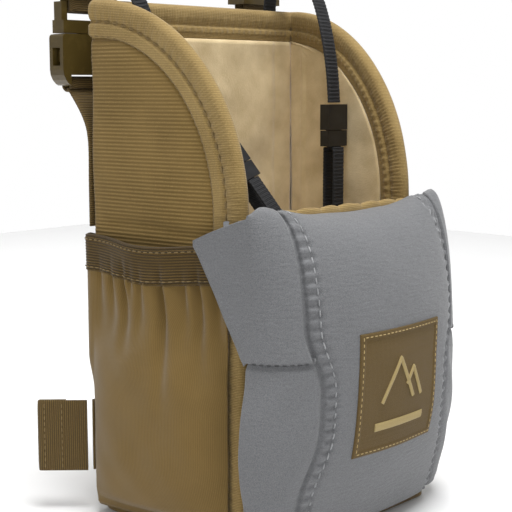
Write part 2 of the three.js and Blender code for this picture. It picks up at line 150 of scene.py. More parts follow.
class Shader:
    """A node material: heights and colours are built up from waves and noise, then joined to the surface."""

    def __init__(self, name, roughness, metallic=0.0, sheen=0.0, coat=0.0, specular=0.5):
        self.material = bpy.data.materials.new(name)
        self.material.use_nodes = True
        self.tree = self.material.node_tree
        self.surface = self.tree.nodes["Principled BSDF"]
        self.surface.inputs["Metallic"].default_value = metallic
        self.surface.inputs["Roughness"].default_value = roughness
        self.surface.inputs["Sheen Weight"].default_value = sheen
        self.surface.inputs["Sheen Roughness"].default_value = 0.5
        self.surface.inputs["Coat Weight"].default_value = coat
        self.surface.inputs["Specular IOR Level"].default_value = specular
        self.roughness = roughness
        self.place = self.tree.nodes.new("ShaderNodeTexCoord")

    def link(self, source, target):
        self.tree.links.new(source, target)

    def math(self, operation, a, b=0.0):
        node = self.tree.nodes.new("ShaderNodeMath")
        node.operation = operation
        for socket, value in zip(node.inputs, (a, b)):
            if isinstance(value, (int, float)):
                socket.default_value = value
            else:
                self.link(value, socket)
        return node.outputs[0]

    def axis(self, letter, space="Object"):
        split = self.tree.nodes.new("ShaderNodeSeparateXYZ")
        self.link(self.place.outputs[space], split.inputs[0])
        return split.outputs[letter]

    def wave(self, coordinate, period, sharp=1.0):
        """0 in the grooves and 1 on the ridges, a period in millimetres apart."""
        turned = self.math("SINE", self.math("MULTIPLY", coordinate, 2 * math.pi / (period * MM)))
        return self.math("POWER", self.math("MULTIPLY", self.math("ADD", turned, 1.0), 0.5), sharp)

    def noise(self, size, detail=3.0, stretch=(1, 1, 1)):
        """Noise with features about size millimetres apart, drawn out by stretch."""
        mapping = self.tree.nodes.new("ShaderNodeMapping")
        mapping.inputs["Scale"].default_value = [1 / s for s in stretch]
        self.link(self.place.outputs["Object"], mapping.inputs["Vector"])
        node = self.tree.nodes.new("ShaderNodeTexNoise")
        node.inputs["Scale"].default_value = 1 / (size * MM)
        node.inputs["Detail"].default_value = detail
        self.link(mapping.outputs[0], node.inputs["Vector"])
        return node.outputs["Fac"]

    def cells(self, size):
        node = self.tree.nodes.new("ShaderNodeTexVoronoi")
        node.inputs["Scale"].default_value = 1 / (size * MM)
        self.link(self.place.outputs["Object"], node.inputs["Vector"])
        return node.outputs["Distance"]

    def spread(self, value, low, high):
        """Stretches a value's middle range from low to high over 0 to 1."""
        node = self.tree.nodes.new("ShaderNodeMapRange")
        node.inputs["From Min"].default_value = low
        node.inputs["From Max"].default_value = high
        self.link(value, node.inputs["Value"])
        return node.outputs[0]

    def blend(self, factor, a, b):
        """Mixes two colours: an sRGB triple or a socket each."""
        node = self.tree.nodes.new("ShaderNodeMix")
        node.data_type = "RGBA"
        self.link(factor, node.inputs[0])
        for socket, value in ((node.inputs[6], a), (node.inputs[7], b)):
            if isinstance(value, tuple):
                socket.default_value = linear(value)
            else:
                self.link(value, socket)
        return node.outputs[2]

    def bump(self, height, depth, normal=None):
        """Bump of depth millimetres between a height of 0 and 1."""
        node = self.tree.nodes.new("ShaderNodeBump")
        node.inputs["Distance"].default_value = depth * MM
        self.link(height, node.inputs["Height"])
        if normal is not None:
            self.link(normal, node.inputs["Normal"])
        return node.outputs[0]

    def done(self, colour, normal=None, rough=None):
        self.link(colour, self.surface.inputs["Base Color"])
        if normal is not None:
            self.link(normal, self.surface.inputs["Normal"])
        if rough is not None:
            span = self.tree.nodes.new("ShaderNodeMapRange")
            span.inputs["To Min"].default_value = self.roughness - 0.08
            span.inputs["To Max"].default_value = min(self.roughness + 0.08, 1.0)
            self.link(rough, span.inputs["Value"])
            self.link(span.outputs[0], self.surface.inputs["Roughness"])
        return self.material


def ribbed_cloth(name, dark, light, period=RIB):
    """Stretch fabric with ribs made in the mesh: painted highlight on the ridges and painted shade in the
    grooves, a fine cross weave and soft blotches.
    """
    s = Shader(name, 0.88, sheen=0.15, specular=0.25)
    # The rib wave paints the ridges lighter and the grooves darker: painted highlight and painted shade over
    # the ribs that the mesh makes.
    thread = s.wave(s.axis("Z"), period, 1.6)
    weave = s.noise(0.35, 2, (2.2, 2.2, 0.8))
    blotch = s.spread(s.noise(26, 3), 0.35, 0.65)
    tone = s.blend(s.math("MULTIPLY", thread, s.spread(weave, 0.2, 0.8)), dark, light)
    worn = s.blend(s.math("MULTIPLY", blotch, 0.22), tone, light)
    return s.done(worn, s.bump(weave, 0.12), weave)


def knit(name, dark, light, across=0.9):
    """Smooth stretch knit: fine wales up the cloth and soft pilling."""
    s = Shader(name, 0.86, sheen=0.2, specular=0.25)
    wale = s.wave(s.axis("X", "UV"), across)
    grain = s.noise(0.3, 3)
    blotch = s.spread(s.noise(18, 4), 0.3, 0.7)
    tone = s.blend(s.math("MULTIPLY", s.math("ADD", wale, grain), 0.5), dark, light)
    worn = s.blend(s.math("MULTIPLY", blotch, 0.25), tone, light)
    return s.done(worn, s.bump(grain, 0.1, s.bump(wale, 0.07)), grain)


def elastic_cloth(name, dark, light):
    """Woven elastic: ribs along the band, crossed by fine threads."""
    s = Shader(name, 0.8, sheen=0.1, specular=0.3)
    ribs = s.wave(s.axis("Y", "UV"), 1.5, 1.4)
    threads = s.wave(s.axis("X", "UV"), 0.75)
    grain = s.noise(0.3, 2)
    tone = s.blend(s.math("MULTIPLY", ribs, s.spread(grain, 0.1, 0.9)), dark, light)
    return s.done(tone, s.bump(threads, 0.08, s.bump(ribs, 0.16)), grain)


def brushed(name, dark, light):
    """Brushed lining: short nap laid in drifts, mottled light and dark."""
    s = Shader(name, 0.95, sheen=0.45, specular=0.15)
    nap = s.noise(0.45, 4, (1, 1, 2.2))
    drift = s.spread(s.noise(14, 4), 0.2, 0.8)
    tone = s.blend(drift, dark, light)
    fleck = s.blend(s.math("MULTIPLY", nap, 0.3), tone, light)
    return s.done(fleck, s.bump(nap, 0.22, s.bump(drift, 0.2)), nap)


def softshell(name, dark, light):
    """Grey softshell: a tight woven face with a fine speckle and short level creases."""
    s = Shader(name, 0.74, sheen=0.22, specular=0.35)
    speckle = s.noise(0.42, 3)
    crease = s.noise(1.7, 3, (3.2, 3.2, 0.8))
    tone = s.blend(s.spread(speckle, 0.3, 0.7), dark, light)
    return s.done(tone, s.bump(speckle, 0.1, s.bump(crease, 0.4)), speckle)


def spacer_mesh(name, dark, light):
    """Open spacer mesh: round holes in a soft net."""
    s = Shader(name, 0.9, sheen=0.2, specular=0.2)
    net = s.spread(s.cells(2.6), 0.12, 0.42)
    tone = s.blend(net, dark, light)
    return s.done(tone, s.bump(net, 0.7), s.noise(0.4))


def webbing(name, dark, light, across=1.1, gloss=0.72):
    """Woven webbing: ribs along the strap, crossed by rows that the mesh makes."""
    s = Shader(name, gloss, sheen=0.08, specular=0.35)
    ribs = s.wave(s.axis("Y", "UV"), across, 1.3)
    grain = s.noise(0.32, 3)
    tone = s.blend(s.math("MULTIPLY", ribs, s.spread(grain, 0.1, 0.9)), dark, light)
    return s.done(tone, s.bump(grain, 0.08, s.bump(ribs, 0.2)), grain)


def moulded(name, colour, worn, gloss=0.36):
    """Moulded plastic: a fine spark-eroded grain, rubbed lighter in patches."""
    s = Shader(name, gloss, coat=0.12, specular=0.5)
    grain = s.noise(0.28, 3)
    rub = s.math("MULTIPLY", s.spread(s.noise(6, 3), 0.5, 0.75), 0.3)
    return s.done(s.blend(rub, colour, worn), s.bump(grain, 0.03), grain)


def plain_thread(name, dark, light):
    """Twisted sewing thread."""
    s = Shader(name, 0.6, sheen=0.1, specular=0.4)
    twist = s.noise(0.25, 2)
    return s.done(s.blend(twist, dark, light), s.bump(twist, 0.05), twist)


def brushed_metal(name):
    s = Shader(name, 0.32, metallic=1.0)
    grain = s.noise(0.5, 3, (6, 1, 1))
    return s.done(s.blend(grain, (128, 130, 134), (176, 178, 182)), s.bump(grain, 0.02), grain)


LOOK = {name: make(name, *rest) for name, make, *rest in (
    ("ribbed_fabric", ribbed_cloth, (106, 85, 42), (150, 123, 72)),
    ("rim_binding", ribbed_cloth, (120, 98, 54), (184, 158, 106), 0.8),
    ("stretch_fabric", knit, (90, 71, 33), (128, 103, 56)),
    ("elastic_band", elastic_cloth, (56, 42, 15), (124, 98, 46)),
    ("brushed_lining", brushed, (176, 151, 104), (224, 202, 158)),
    ("grey_softshell", softshell, (88, 89, 91), (120, 121, 123)),
    ("foam", knit, (34, 34, 37), (62, 62, 66)),
    ("spacer_mesh", spacer_mesh, (38, 30, 18), (112, 92, 56)),
    ("tan_webbing", webbing, (66, 50, 18), (138, 112, 58)),
    ("black_webbing", webbing, (12, 12, 14), (44, 44, 48), 0.9),
    ("woven_label", webbing, (88, 68, 26), (126, 101, 48), 0.5),
    ("tan_plastic", moulded, (74, 60, 24), (112, 94, 50)),
    ("black_plastic", moulded, (14, 14, 16), (46, 46, 50)),
    ("stiffener_board", moulded, (30, 30, 31), (56, 56, 58), 0.5),
    ("magnet", brushed_metal),
    ("tan_thread", plain_thread, (92, 74, 38), (150, 126, 78)),
    ("light_thread", plain_thread, (160, 136, 84), (206, 182, 128)),
    ("grey_thread", plain_thread, (126, 127, 129), (172, 173, 175)),
    ("dark_thread", plain_thread, (34, 34, 35), (66, 66, 68)),
    ("mark_thread", plain_thread, (142, 122, 74), (180, 160, 108)),
)}


# ---- mesh building
def lengths(points):
    """Distance along the first axis of a grid of points, from its start."""
    steps = np.linalg.norm(np.diff(points, axis=0), axis=-1)
    return np.concatenate([np.zeros((1, *steps.shape[1:])), np.cumsum(steps, 0)])


def mesh_of(name, points, faces, uv, look):
    mesh = bpy.data.meshes.new(name)
    mesh.from_pydata((np.asarray(points) * MM).tolist(), [], faces)
    if uv is not None:
        layer = mesh.uv_layers.new(name="UVMap")
        layer.data.foreach_set("uv", np.asarray(uv, np.float32).ravel() * MM)
    mesh.polygons.foreach_set("use_smooth", [True] * len(mesh.polygons))
    mesh.materials.append(LOOK[look])
    made = bpy.data.objects.new(name, mesh)
    bpy.context.scene.collection.objects.link(made)
    return made


def surface(name, grid, look, flip=False, wrap=False, caps=False):
    """A mesh over a grid of points, rows first. wrap closes each row to a ring, caps close both ends."""
    rows, columns = grid.shape[:2]
    index = np.arange(rows * columns).reshape(rows, columns)
    full = grid
    if wrap:
        index = np.hstack([index, index[:, :1]])
        full = np.concatenate([grid, grid[:, :1]], 1)
    along = lengths(full)
    across = np.moveaxis(lengths(np.moveaxis(full, 1, 0)), 0, 1)
    flat = np.stack([across, along], -1)

    def corners(a):
        quads = np.stack([a[:-1, :-1], a[:-1, 1:], a[1:, 1:], a[1:, :-1]], 2)
        quads = quads.reshape(-1, 4, *a.shape[2:])
        return quads[:, ::-1] if flip else quads

    faces = corners(index).tolist()
    uv = corners(flat).reshape(-1, 2)
    if caps:
        ends = [index[0, :columns].tolist()[::-1], index[-1, :columns].tolist()]
        ends = [e[::-1] for e in ends] if flip else ends
        faces += ends
        uv = np.vstack([uv, flat[0, :columns][::-1], flat[-1, :columns]])
    return mesh_of(name, grid.reshape(-1, 3), faces, uv, look)


def mirrored(grid, k):
    return grid * np.array([k, 1, 1])


def settle(piece, body, stands_for=()):
    """The piece rides on a body and stands for CAD nodes, which it hides."""
    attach(piece, body)
    if stands_for:
        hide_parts(*stands_for)
    return piece


def thicken(piece, thickness):
    """Gives a sheet its thickness, inwards from its face."""
    modifier = piece.modifiers.new("thickness", "SOLIDIFY")
    modifier.thickness = thickness * MM
    modifier.offset = -1
    modifier.use_even_offset = False
    return piece


def cloth(name, grid, look, body, nodes, thickness, flip=False):
    """A sheet of cloth over a grid that rides on a body and stands for CAD nodes."""
    return thicken(settle(surface(name, grid, look, flip), body, nodes), thickness)


def pillow(name, across, up, place, look, flip=False):
    """A closed pad: place(a, b, face) gives points for a and b from -1 to 1, face 1 in front, -1 behind."""
    a, b = np.meshgrid(*(np.sin(np.linspace(-1, 1, count) * np.pi / 2) for count in (across, up)))
    front, rear = place(a, b, 1), place(a, b, -1)
    around = [np.concatenate([front[j], rear[j][::-1][1:-1]]) for j in range(up)]
    return surface(name, np.array(around), look, flip=flip, wrap=True, caps=True)


def rounded(a, b, power=10):
    """Height of a pad's face, 1 in its middle and 0 at its edge."""
    return ((1 - np.abs(a) ** power) * (1 - np.abs(b) ** power)) ** (1 / 2.6)


def strap(name, path, side, width, thick, look, row=2.6, raised=0.09, step=0.65, closed=False):
    """Flat webbing along a path, rounded at its selvedges, with cross rows a row apart."""
    centre, at = resample(path, step, closed)
    if closed:
        along = np.roll(centre, -1, 0) - np.roll(centre, 1, 0)
    else:
        along = np.gradient(centre, axis=0)
    along /= np.linalg.norm(along, axis=1, keepdims=True)
    wide = np.asarray(side, float) - (along @ np.asarray(side, float))[:, None] * along
    wide /= np.linalg.norm(wide, axis=1, keepdims=True)
    normal = np.cross(along, wide)
    turn = np.linspace(0, 2 * np.pi, 28, endpoint=False)
    a = signed_power(np.cos(turn), 0.35) * width / 2
    h = signed_power(np.sin(turn), 0.45) * thick / 2
    rows = 1 + raised * np.cos(2 * np.pi * at / row)[:, None] * 2 / thick
    grid = centre[:, None] + wide[:, None] * a[:, None] + normal[:, None] * (h * rows)[:, :, None]
    if closed:
        grid = np.concatenate([grid, grid[:1]])
    return surface(name, grid, look, wrap=True, caps=not closed)


def stitches(name, centres, along, out, look, length=3.4, thick=0.75, lift=0.1):
    """Short threads lying on a surface: one rounded bar for each centre."""
    centres, along, out = (np.asarray(x, float) for x in (centres, along, out))
    along = along / np.linalg.norm(along, axis=1, keepdims=True)
    out = out / np.linalg.norm(out, axis=1, keepdims=True)
    side = np.cross(along, out)
    points, faces = [], []
    rings, around = 6, 6
    for c, a, o, s in zip(centres, along, out, side):
        first = len(points)
        for j in range(rings + 1):
            t = -1 + 2 * j / rings
            r = thick / 2 * max(1 - t**4, 0.02) ** 0.5
            arch = lift - 0.35 * t**4
            for i in range(around):
                w = 2 * np.pi * i / around
                points.append(c + a * t * length / 2 + o * (arch + r * np.cos(w)) + s * r * np.sin(w))
        for j in range(rings):
            for i in range(around):
                n = (i + 1) % around
                faces.append([first + j * around + i, first + j * around + n, first + (j + 1) * around + n,
                              first + (j + 1) * around + i])
        faces.append([first + i for i in range(around)][::-1])
        faces.append([first + rings * around + i for i in range(around)])
    return mesh_of(name, points, faces, None, look)


def seam_run(path, out, pitch):
    """Centres, directions and outward directions of stitches a pitch apart on a path."""
    path, out = np.asarray(path, float), np.asarray(out, float)
    run = lengths(path)
    at = np.arange(pitch / 2, run[-1], pitch)
    pick = lambda a, t: np.stack([np.interp(t, run, a[:, i]) for i in range(3)], 1)
    return pick(path, at), pick(path, at + 0.8) - pick(path, at - 0.8), pick(out, at)


def sew(name, body, path, out, pitch, look, *size):
    """A row of stitches a pitch apart along a path, riding on a body."""
    settle(stitches(name, *seam_run(path, out, pitch), look, *size), body)


# ---- camera, light and floor
def make_camera():
    azimuth, elevation = math.radians(-47.2), math.radians(8.0)
    target, distance = Vector((-0.0146, 0, 0.1337)), 0.6323
    back = Vector((math.sin(azimuth) * math.cos(elevation), -math.cos(azimuth) * math.cos(elevation),
                   math.sin(elevation)))
    camera = bpy.data.objects.new("camera", bpy.data.cameras.new("camera"))
    bpy.context.scene.collection.objects.link(camera)
    camera.data.lens, camera.data.sensor_width = 85.6, 36.0
    camera.data.clip_start, camera.data.clip_end = 0.01, 50
    camera.location = target + back * distance
    camera.rotation_mode = "QUATERNION"
    camera.rotation_quaternion = (-back).to_track_quat("-Z", "Y")
    bpy.context.scene.camera = camera


def area_light(name, place, aim, size, power):
    light = bpy.data.objects.new(name, bpy.data.lights.new(name, "AREA"))
    light.data.shape = "DISK"
    light.data.size, light.data.energy = size, power
    bpy.context.scene.collection.objects.link(light)
    light.location = place
    light.rotation_mode = "QUATERNION"
    light.rotation_quaternion = (Vector(aim) - Vector(place)).to_track_quat("-Z", "Y")


def make_studio():
    world = bpy.data.worlds.new("studio")
    world.use_nodes = True
    world.node_tree.nodes["Background"].inputs["Color"].default_value = (1, 1, 1, 1)
    # White where the camera sees it, softer as light.
    seen = world.node_tree.nodes.new("ShaderNodeLightPath")
    strength = world.node_tree.nodes.new("ShaderNodeMath")
    strength.operation = "MULTIPLY_ADD"
    strength.inputs[1].default_value, strength.inputs[2].default_value = 0.55, 0.45
    world.node_tree.links.new(seen.outputs["Is Camera Ray"], strength.inputs[0])
    world.node_tree.links.new(strength.outputs[0], world.node_tree.nodes["Background"].inputs["Strength"])
    bpy.context.scene.world = world
    bpy.context.scene.view_settings.view_transform = "Standard"
    middle = (0, 0, 0.14)
    area_light("overhead", (-0.1, -0.25, 1.5), middle, 0.7, 24)
    area_light("front", (-1.3, -1.1, 0.75), middle, 0.8, 5)
    area_light("rear", (0.9, 1.0, 1.1), middle, 0.8, 6)
    floor_look = Shader("floor", 0.85, specular=0.2)
    pale = floor_look.blend(floor_look.noise(300, 2), (236, 236, 236), (242, 242, 242))
    floor_look.done(pale)
    mesh = bpy.data.meshes.new("floor")
    r = 1.1
    mesh.from_pydata([(-r, -r, 0), (r, -r, 0), (r, r, 0), (-r, r, 0)], [], [(0, 1, 2, 3)])
    mesh.materials.append(floor_look.material)
    floor = bpy.data.objects.new("floor", mesh)
    floor.location.z = -0.0004
    bpy.context.scene.collection.objects.link(floor)


# ---- tethers, the pack's two cords
TETHER = {"width": 10.0, "thick": 1.4, "row": 2.1}
PARK = np.array([-18.0, -30.0, 140.0])
LEFT_UP = np.array([-42.0, 81.0, 127.0])
LEFT_UP /= np.linalg.norm(LEFT_UP)


def on_left(run, sag=0.0):
    return (PARK + LEFT_UP * run - np.array([0, 0, sag])).tolist()


ROUTES = {
    "right": [[61, 59.2, 240], [61, 59.2, 252], [61, 59.3, 264], [60.8, 57.6, 274], [60.4, 53, 281.5],
              [59.8, 46, 285.5], [59, 37, 284.5], [58, 28, 279], [57, 20, 270], [56.2, 14.5, 258],
              [55.6, 10.5, 245], [55.2, 7.5, 231], [55, 6, 219], [55, 5.5, 212]],
    "left": [[-61, 59.2, 240], [-61, 59.2, 252], [-61, 59.3, 264], [-60.9, 57.8, 273], [-60.5, 53.5, 279.5],
             [-59.8, 48, 278], [-58.6, 43.5, 270.5], [-56.8, 38.5, 259], on_left(126, 1.2), on_left(108, 1.6),
             on_left(90, 1), on_left(76, 0.3), on_left(66)],
}


def racetrack(centre, up, wide_of, half, low, high, steps=8):
    """Points of a closed loop, long along up, whose round ends of radius half turn towards wide_of."""
    points = []
    for middle, start in ((high - half, 0), (low + half, math.pi)):
        for t in np.linspace(start, start + math.pi, steps):
            points.append(centre + up * (middle + half * math.sin(t)) + wide_of * half * math.cos(t))
    return points


def make_tethers():
    clips = {
        "right": (np.array([55, 5.5, 197.0]), np.array([0, 0, 1.0])),
        "left": (np.array(on_left(51)), LEFT_UP),
    }
    for side, _ in SIDES:
        route = ROUTES[side]
        across = np.array([1.0, 0, 0])
        tether = strap(f"tether_webbing_{side}", route, across, TETHER["width"], TETHER["thick"],
                       "black_webbing", TETHER["row"], 0.22, 0.42)
        settle(tether, "pack", [f"tether_{side}"])
        path, run = resample(route, 2.0)
        centre, up = clips[side]
        wide = across - across @ up * up
        wide /= np.linalg.norm(wide)
        ring = racetrack(centre, up, np.cross(up, wide), 3.4, -55.4, -9.4)
        loop = strap(f"lug_webbing_{side}", ring, wide, 9, 1.2, "black_webbing", TETHER["row"], 0.16, 0.5,
                     closed=True)
        settle(loop, f"clip_{side}", [f"lug_loop_{side}"])


# ---- the shell's plan: back, rear corner and wing
TURN = math.pi / 2 + math.asin(-FORWARD[0])  # the angle that the wall turns through at the rear corner
CORNER_LENGTH = CORNER * TURN
SHARP = WING_REAR - FORWARD * (BACK_Y - WING_REAR[1]) / -FORWARD[1]  # where the two faces would meet
TANGENT = CORNER * math.tan(TURN / 2)
ARC_CENTRE = np.array([SHARP[0] - TANGENT, BACK_Y - CORNER])


def skin(run, z, out):
    """A point on the right wall's outer face, moved out. run is 0 at the corner and grows forward."""
    run, z, out = np.broadcast_arrays(np.asarray(run, float), z, out)
    start = SHARP + FORWARD * TANGENT
    ahead = start + FORWARD * np.maximum(run, 0)[..., None]
    angle = np.clip(-run / CORNER, 0, TURN)  # back round the corner
    first = math.atan2(OUTWARD[1], OUTWARD[0])
    normal = np.stack([np.cos(first + angle), np.sin(first + angle)], -1)
    round_corner = ARC_CENTRE + normal * CORNER
    behind = np.maximum(-run - CORNER_LENGTH, 0)[..., None] * np.array([-1.0, 0])
    flat = np.where((run >= 0)[..., None], ahead, round_corner + behind) + normal * out[..., None]
    return np.concatenate([flat, z[..., None]], -1)


FRONT_RUN = WING - np.dot(SHARP + FORWARD * TANGENT - WING_REAR, FORWARD)  # run at the wing's front edge


def rim_reach(z, inset):
    """Run of the line that lies inset from the wing's curved edge, at a height."""
    high = HEIGHT - inset - RIM_START
    share = np.clip((z - RIM_START) / high, 0, 1)
    return (FRONT_RUN - inset) * np.sqrt(1 - share**2)


def rows_between(low, high, fine_from, step):
    """Heights: coarse where a pocket covers the wall, and fine enough for the ribs above."""
    return np.concatenate([np.arange(low, fine_from, 3.0), np.arange(fine_from, high, step), [high]])


def ribs(z):
    return 0.11 * np.cos(2 * np.pi * z / RIB)


def make_wings():
    z = rows_between(WALL_BOTTOM, BAND_LOW + 0.6, 138, RIB / 5)
    corner = np.linspace(-CORNER_LENGTH - 1, 0, 12)[:-1]
    share = np.linspace(0, 1, 44)
    for side, k in SIDES:
        reach = rim_reach(z, BAND - 1.2)[:, None]
        run = np.hstack([np.broadcast_to(corner, (len(z), len(corner))), reach * share])
        height = np.broadcast_to(z[:, None], run.shape)
        inner = np.clip(run / np.maximum(reach, 1), 0, 1)
        to_band = np.minimum(reach - run, (HEIGHT - BAND - height) * 1.3)
        puff = 1.1 * smooth(-8, 10, run) * smooth(0, 14, to_band) * (0.7 + 0.3 * np.sin(np.pi * inner))
        swell = 0.45 * ripple(run, height, 55, 3 + k) * smooth(0, 20, to_band)
        crease = -0.8 * hump(height, 151 + 2 * np.sin(run / 17), 3.2) * smooth(0, 20, run)
        tuck = -1.3 * (1 - smooth(0, 3.4, to_band))
        out = puff + swell + crease + tuck + ribs(height)
        grid = mirrored(skin(run, height, out), k)
        cloth(f"wing_cloth_{side}", grid, "ribbed_fabric", "pack", [f"wing_{side}"], 1.6, flip=k > 0)


def make_back():
    z = rows_between(WALL_BOTTOM, BAND_LOW + 0.6, 4, RIB / 5)
    x = np.linspace(-1, 1, 41) * (ARC_CENTRE[0] + 1.2)
    xx, zz = np.meshgrid(x, z)
    out = 0.5 * rounded(xx / ARC_CENTRE[0] * 0.98, (zz - 124) / 124 * 0.98, 4)
    out = out + 0.35 * ripple(xx, zz, 60, 8) + ribs(zz)
    # Flat under the sewn pad, which stands on it.
    covered = (1 - smooth(47, 56, np.abs(xx))) * (1 - smooth(226, 236, zz))
    grid = np.stack([xx, BACK_Y + np.where(covered > 0, out * (1 - covered) + 0.1 * covered, out), zz], -1)
    cloth("back_cloth", grid, "ribbed_fabric", "pack", ["back_panel"], 1.6, flip=True)


# ---- rim band
def rim_path(step=0.5):
    """The rim's edge from the right wing's foot to the middle of the back: places and inward directions."""
    up = np.arange(WALL_BOTTOM, RIM_START, step)
    a, b = FRONT_RUN, HEIGHT - RIM_START
    angle = np.linspace(0, math.pi / 2, int(155 / step))
    run = np.concatenate([np.full(len(up), a), a * np.cos(angle)])
    z = np.concatenate([up, RIM_START + b * np.sin(angle)])
    inward_run = np.concatenate([np.full(len(up), -1.0), -np.cos(angle) / a])
    inward_z = np.concatenate([np.zeros(len(up)), -np.sin(angle) / b])
    size = np.hypot(inward_run, inward_z)
    behind = -np.arange(step, CORNER_LENGTH + ARC_CENTRE[0], step)
    run = np.concatenate([run, behind])
    z = np.concatenate([z, np.full(len(behind), HEIGHT)])
    inward_run = np.concatenate([inward_run / size, np.zeros(len(behind))])
    inward_z = np.concatenate([inward_z / size, -np.ones(len(behind))])
    return run, z, inward_run, inward_z


RIM_DEPTH = 7.1  # through the whole wall
# Each stitch row of the band: name, distance from the edge, how far it is sunk, pitch.
RIM_ROWS = (("outer", 11.0, 1.0, 5.6), ("groove", 18.3, 1.1, 4.2))
RIM_MID = -2.55  # the middle of the band, from the wall's outer face


def rim_section():
    """The band's section: distance from the edge, height from its middle, and 1 outside or -1 inside."""
    round_edge = 4 * (1 - np.sin(np.linspace(0, 1, 12)[1:] * np.pi / 2))
    d = np.concatenate([np.linspace(BAND + 0.2, 4, 30), round_edge])
    edge = np.sqrt(np.clip(1 - (1 - np.minimum(d, 4) / 4) ** 2, 0, 1))
    outer = edge * (RIM_DEPTH / 2 + 0.15 - 0.9 * smooth(6, 10.5, d))
    outer -= 0.8 * hump(d, 11, 0.9)
    outer += 0.75 * smooth(11.4, 13, d) * (1 - smooth(17.2, 18.4, d)) - 1.1 * smooth(17.8, 19, d)
    inner = edge * (RIM_DEPTH / 2 - 0.9 * smooth(6, 10, d))
    inner += 0.75 * smooth(10.8, 11.6, d) * (1 - smooth(14, 14.8, d)) - 0.7 * hump(d, 10.3, 0.6)
    inner -= 0.6 * smooth(15, 19, d)
    return (np.concatenate([d, d[::-1][1:]]), np.concatenate([outer, -inner[::-1][1:]]),
            np.concatenate([np.ones(len(d)), -np.ones(len(d) - 1)]))


def rim_point(run, z, inward_run, inward_z, d, h):
    return skin(run + inward_run * d, z + inward_z * d, RIM_MID + h)


def make_rim():
    run, z, inward_run, inward_z = rim_path()
    d, h, face = rim_section()
    at = np.concatenate([[0], np.cumsum(np.full(len(run) - 1, 0.5))])[:, None]
    roll = (1 - smooth(9, 11, d)) * smooth(0.2, 3, d)
    strip = smooth(12, 13, d) * (1 - smooth(17, 18, d)) * (face > 0)
    swell = hump(d, 4, 4) * 0.25 * ripple(at, d, 24, 5)
    pucker = hump(d, 9.4, 3.0) * 0.22 * np.cos(2 * np.pi * at / 5.6) + swell
    fine = 0.13 * np.cos(2 * np.pi * at / RIB) * roll + 0.08 * np.cos(2 * np.pi * at / 1.2) * strip
    bend = (hump(run, -5, 9) * (z > HEIGHT - 6))[:, None]
    creases = bend * 0.7 * np.cos(2 * np.pi * at / 7.3) * smooth(1, 6, d) * np.where(face > 0, 0.5, 1.0)
    hem_wave = (face < 0) * hump(d, 13, 1.8) * 0.25 * np.cos(2 * np.pi * at / 4.4)
    lift = (pucker + fine + creases + hem_wave) * face
    half = rim_point(run[:, None], z[:, None], inward_run[:, None], inward_z[:, None], d, h + lift)
    left = mirrored(half, -1)[::-1]
    grid = np.concatenate([half, left[1:]])
    piece = surface("rim_roll", grid, "rim_binding", wrap=True, caps=True, flip=True)
    settle(piece, "pack", ["rim_band_right", "rim_band_left", "rim_band_back"])
    for name, row, sunk, pitch in RIM_ROWS:
        height = RIM_DEPTH / 2 - sunk
        line = rim_point(run, z, inward_run, inward_z, np.full(len(run), row), np.full(len(run), height))
        above = rim_point(run, z, inward_run, inward_z, np.full(len(run), row), np.full(len(run), height + 1))
        both = np.concatenate([line, mirrored(line, -1)[::-1][1:]])
        outs = np.concatenate([above - line, mirrored(above - line, -1)[::-1][1:]])
        sew(f"rim_stitches_{name}", "pack", both, outs, pitch, "tan_thread", 3.6, 0.8)


# ---- linings
def make_linings():
    z = np.linspace(WALL_BOTTOM + 3, BAND_LOW + 1.5, 100)
    for side, k in SIDES:
        reach = rim_reach(z, BAND - 1.0)[:, None]
        run = lerp(2.5, reach, np.linspace(0, 1, 46))
        zz = np.broadcast_to(z[:, None], run.shape)
        seam = -0.9 * hump(run, 13, 0.9) + 0.25 * hump(run, 15.5, 2)
        depth = -5.6 + 0.5 * ripple(run, zz, 30, 31 + k) + seam
        cloth(f"wing_nap_{side}", mirrored(skin(run, zz, depth), k), "brushed_lining", "pack",
              [f"wing_lining_{side}"], 1.0, flip=k < 0)
    x = np.linspace(-70.5, 70.5, 90)
    xx, zz = np.meshgrid(x, z)
    seam = 1.0 * hump(np.abs(xx), 57, 0.9)
    y = 50.9 - 0.5 * ripple(xx, zz, 34, 40) + seam - 0.25 * hump(np.abs(xx), 54.5, 2)
    cloth("back_nap", np.stack([xx, y, zz], -1), "brushed_lining", "pack", ["back_lining"], 1.0)


# ---- side pockets
POCKET = {"bottom": 9.0, "top": 128.0, "mouth": 146.0, "front": 88.0, "seam": 3.4}
# Each gather: where it is under the elastic, its depth, how far down it runs and how it leans.
GATHERS = ((4.5, 2.0, 30, 1), (15, 2.8, 34, 1), (25.5, 4.4, 42, 2), (31.5, 2.2, 26, 0), (38, 3.0, 36, -1),
           (49.5, 4.6, 70, 4.5), (61, 3.0, 38, 2), (68.5, 4.4, 54, 5), (79, 2.8, 42, 3))


def pocket_standoff(share, z):
    """How far the pocket stands off the wing, as the CAD has it."""
    foot = np.sqrt(np.clip(1 - (1 - np.minimum(1, (z - POCKET["bottom"]) / 34)) ** 2, 0, 1))
    full = 12 * (1 - np.abs(2 * share - 1) ** 3.2)
    mouth = 12 * np.sin(np.pi * np.clip(share, 0, 1)) ** 2.2 * (1 - 0.66 * share)
    return POCKET["seam"] + lerp(full * lerp(0.2, 1, foot), mouth, smooth(70, 112, z))


def gathers(run, z):
    """Sharp folds under the elastic that fade out on their way down."""
    total = 0
    for place, depth, reach, lean in GATHERS:
        down = np.clip((POCKET["top"] - z) / reach, 0, 1)
        centre = place + lean * down
        width = 1.7 + 3.2 * down
        strength = depth * (1 - down) ** 0.8 * smooth(-0.02, 0.06, (POCKET["top"] - z) / 60 + 0.04)
        ridge = 0.42 * strength * hump(run, centre + 2.3 * width, 1.5 * width)
        total = total - strength * hump(run, centre, width) + ridge
    return total


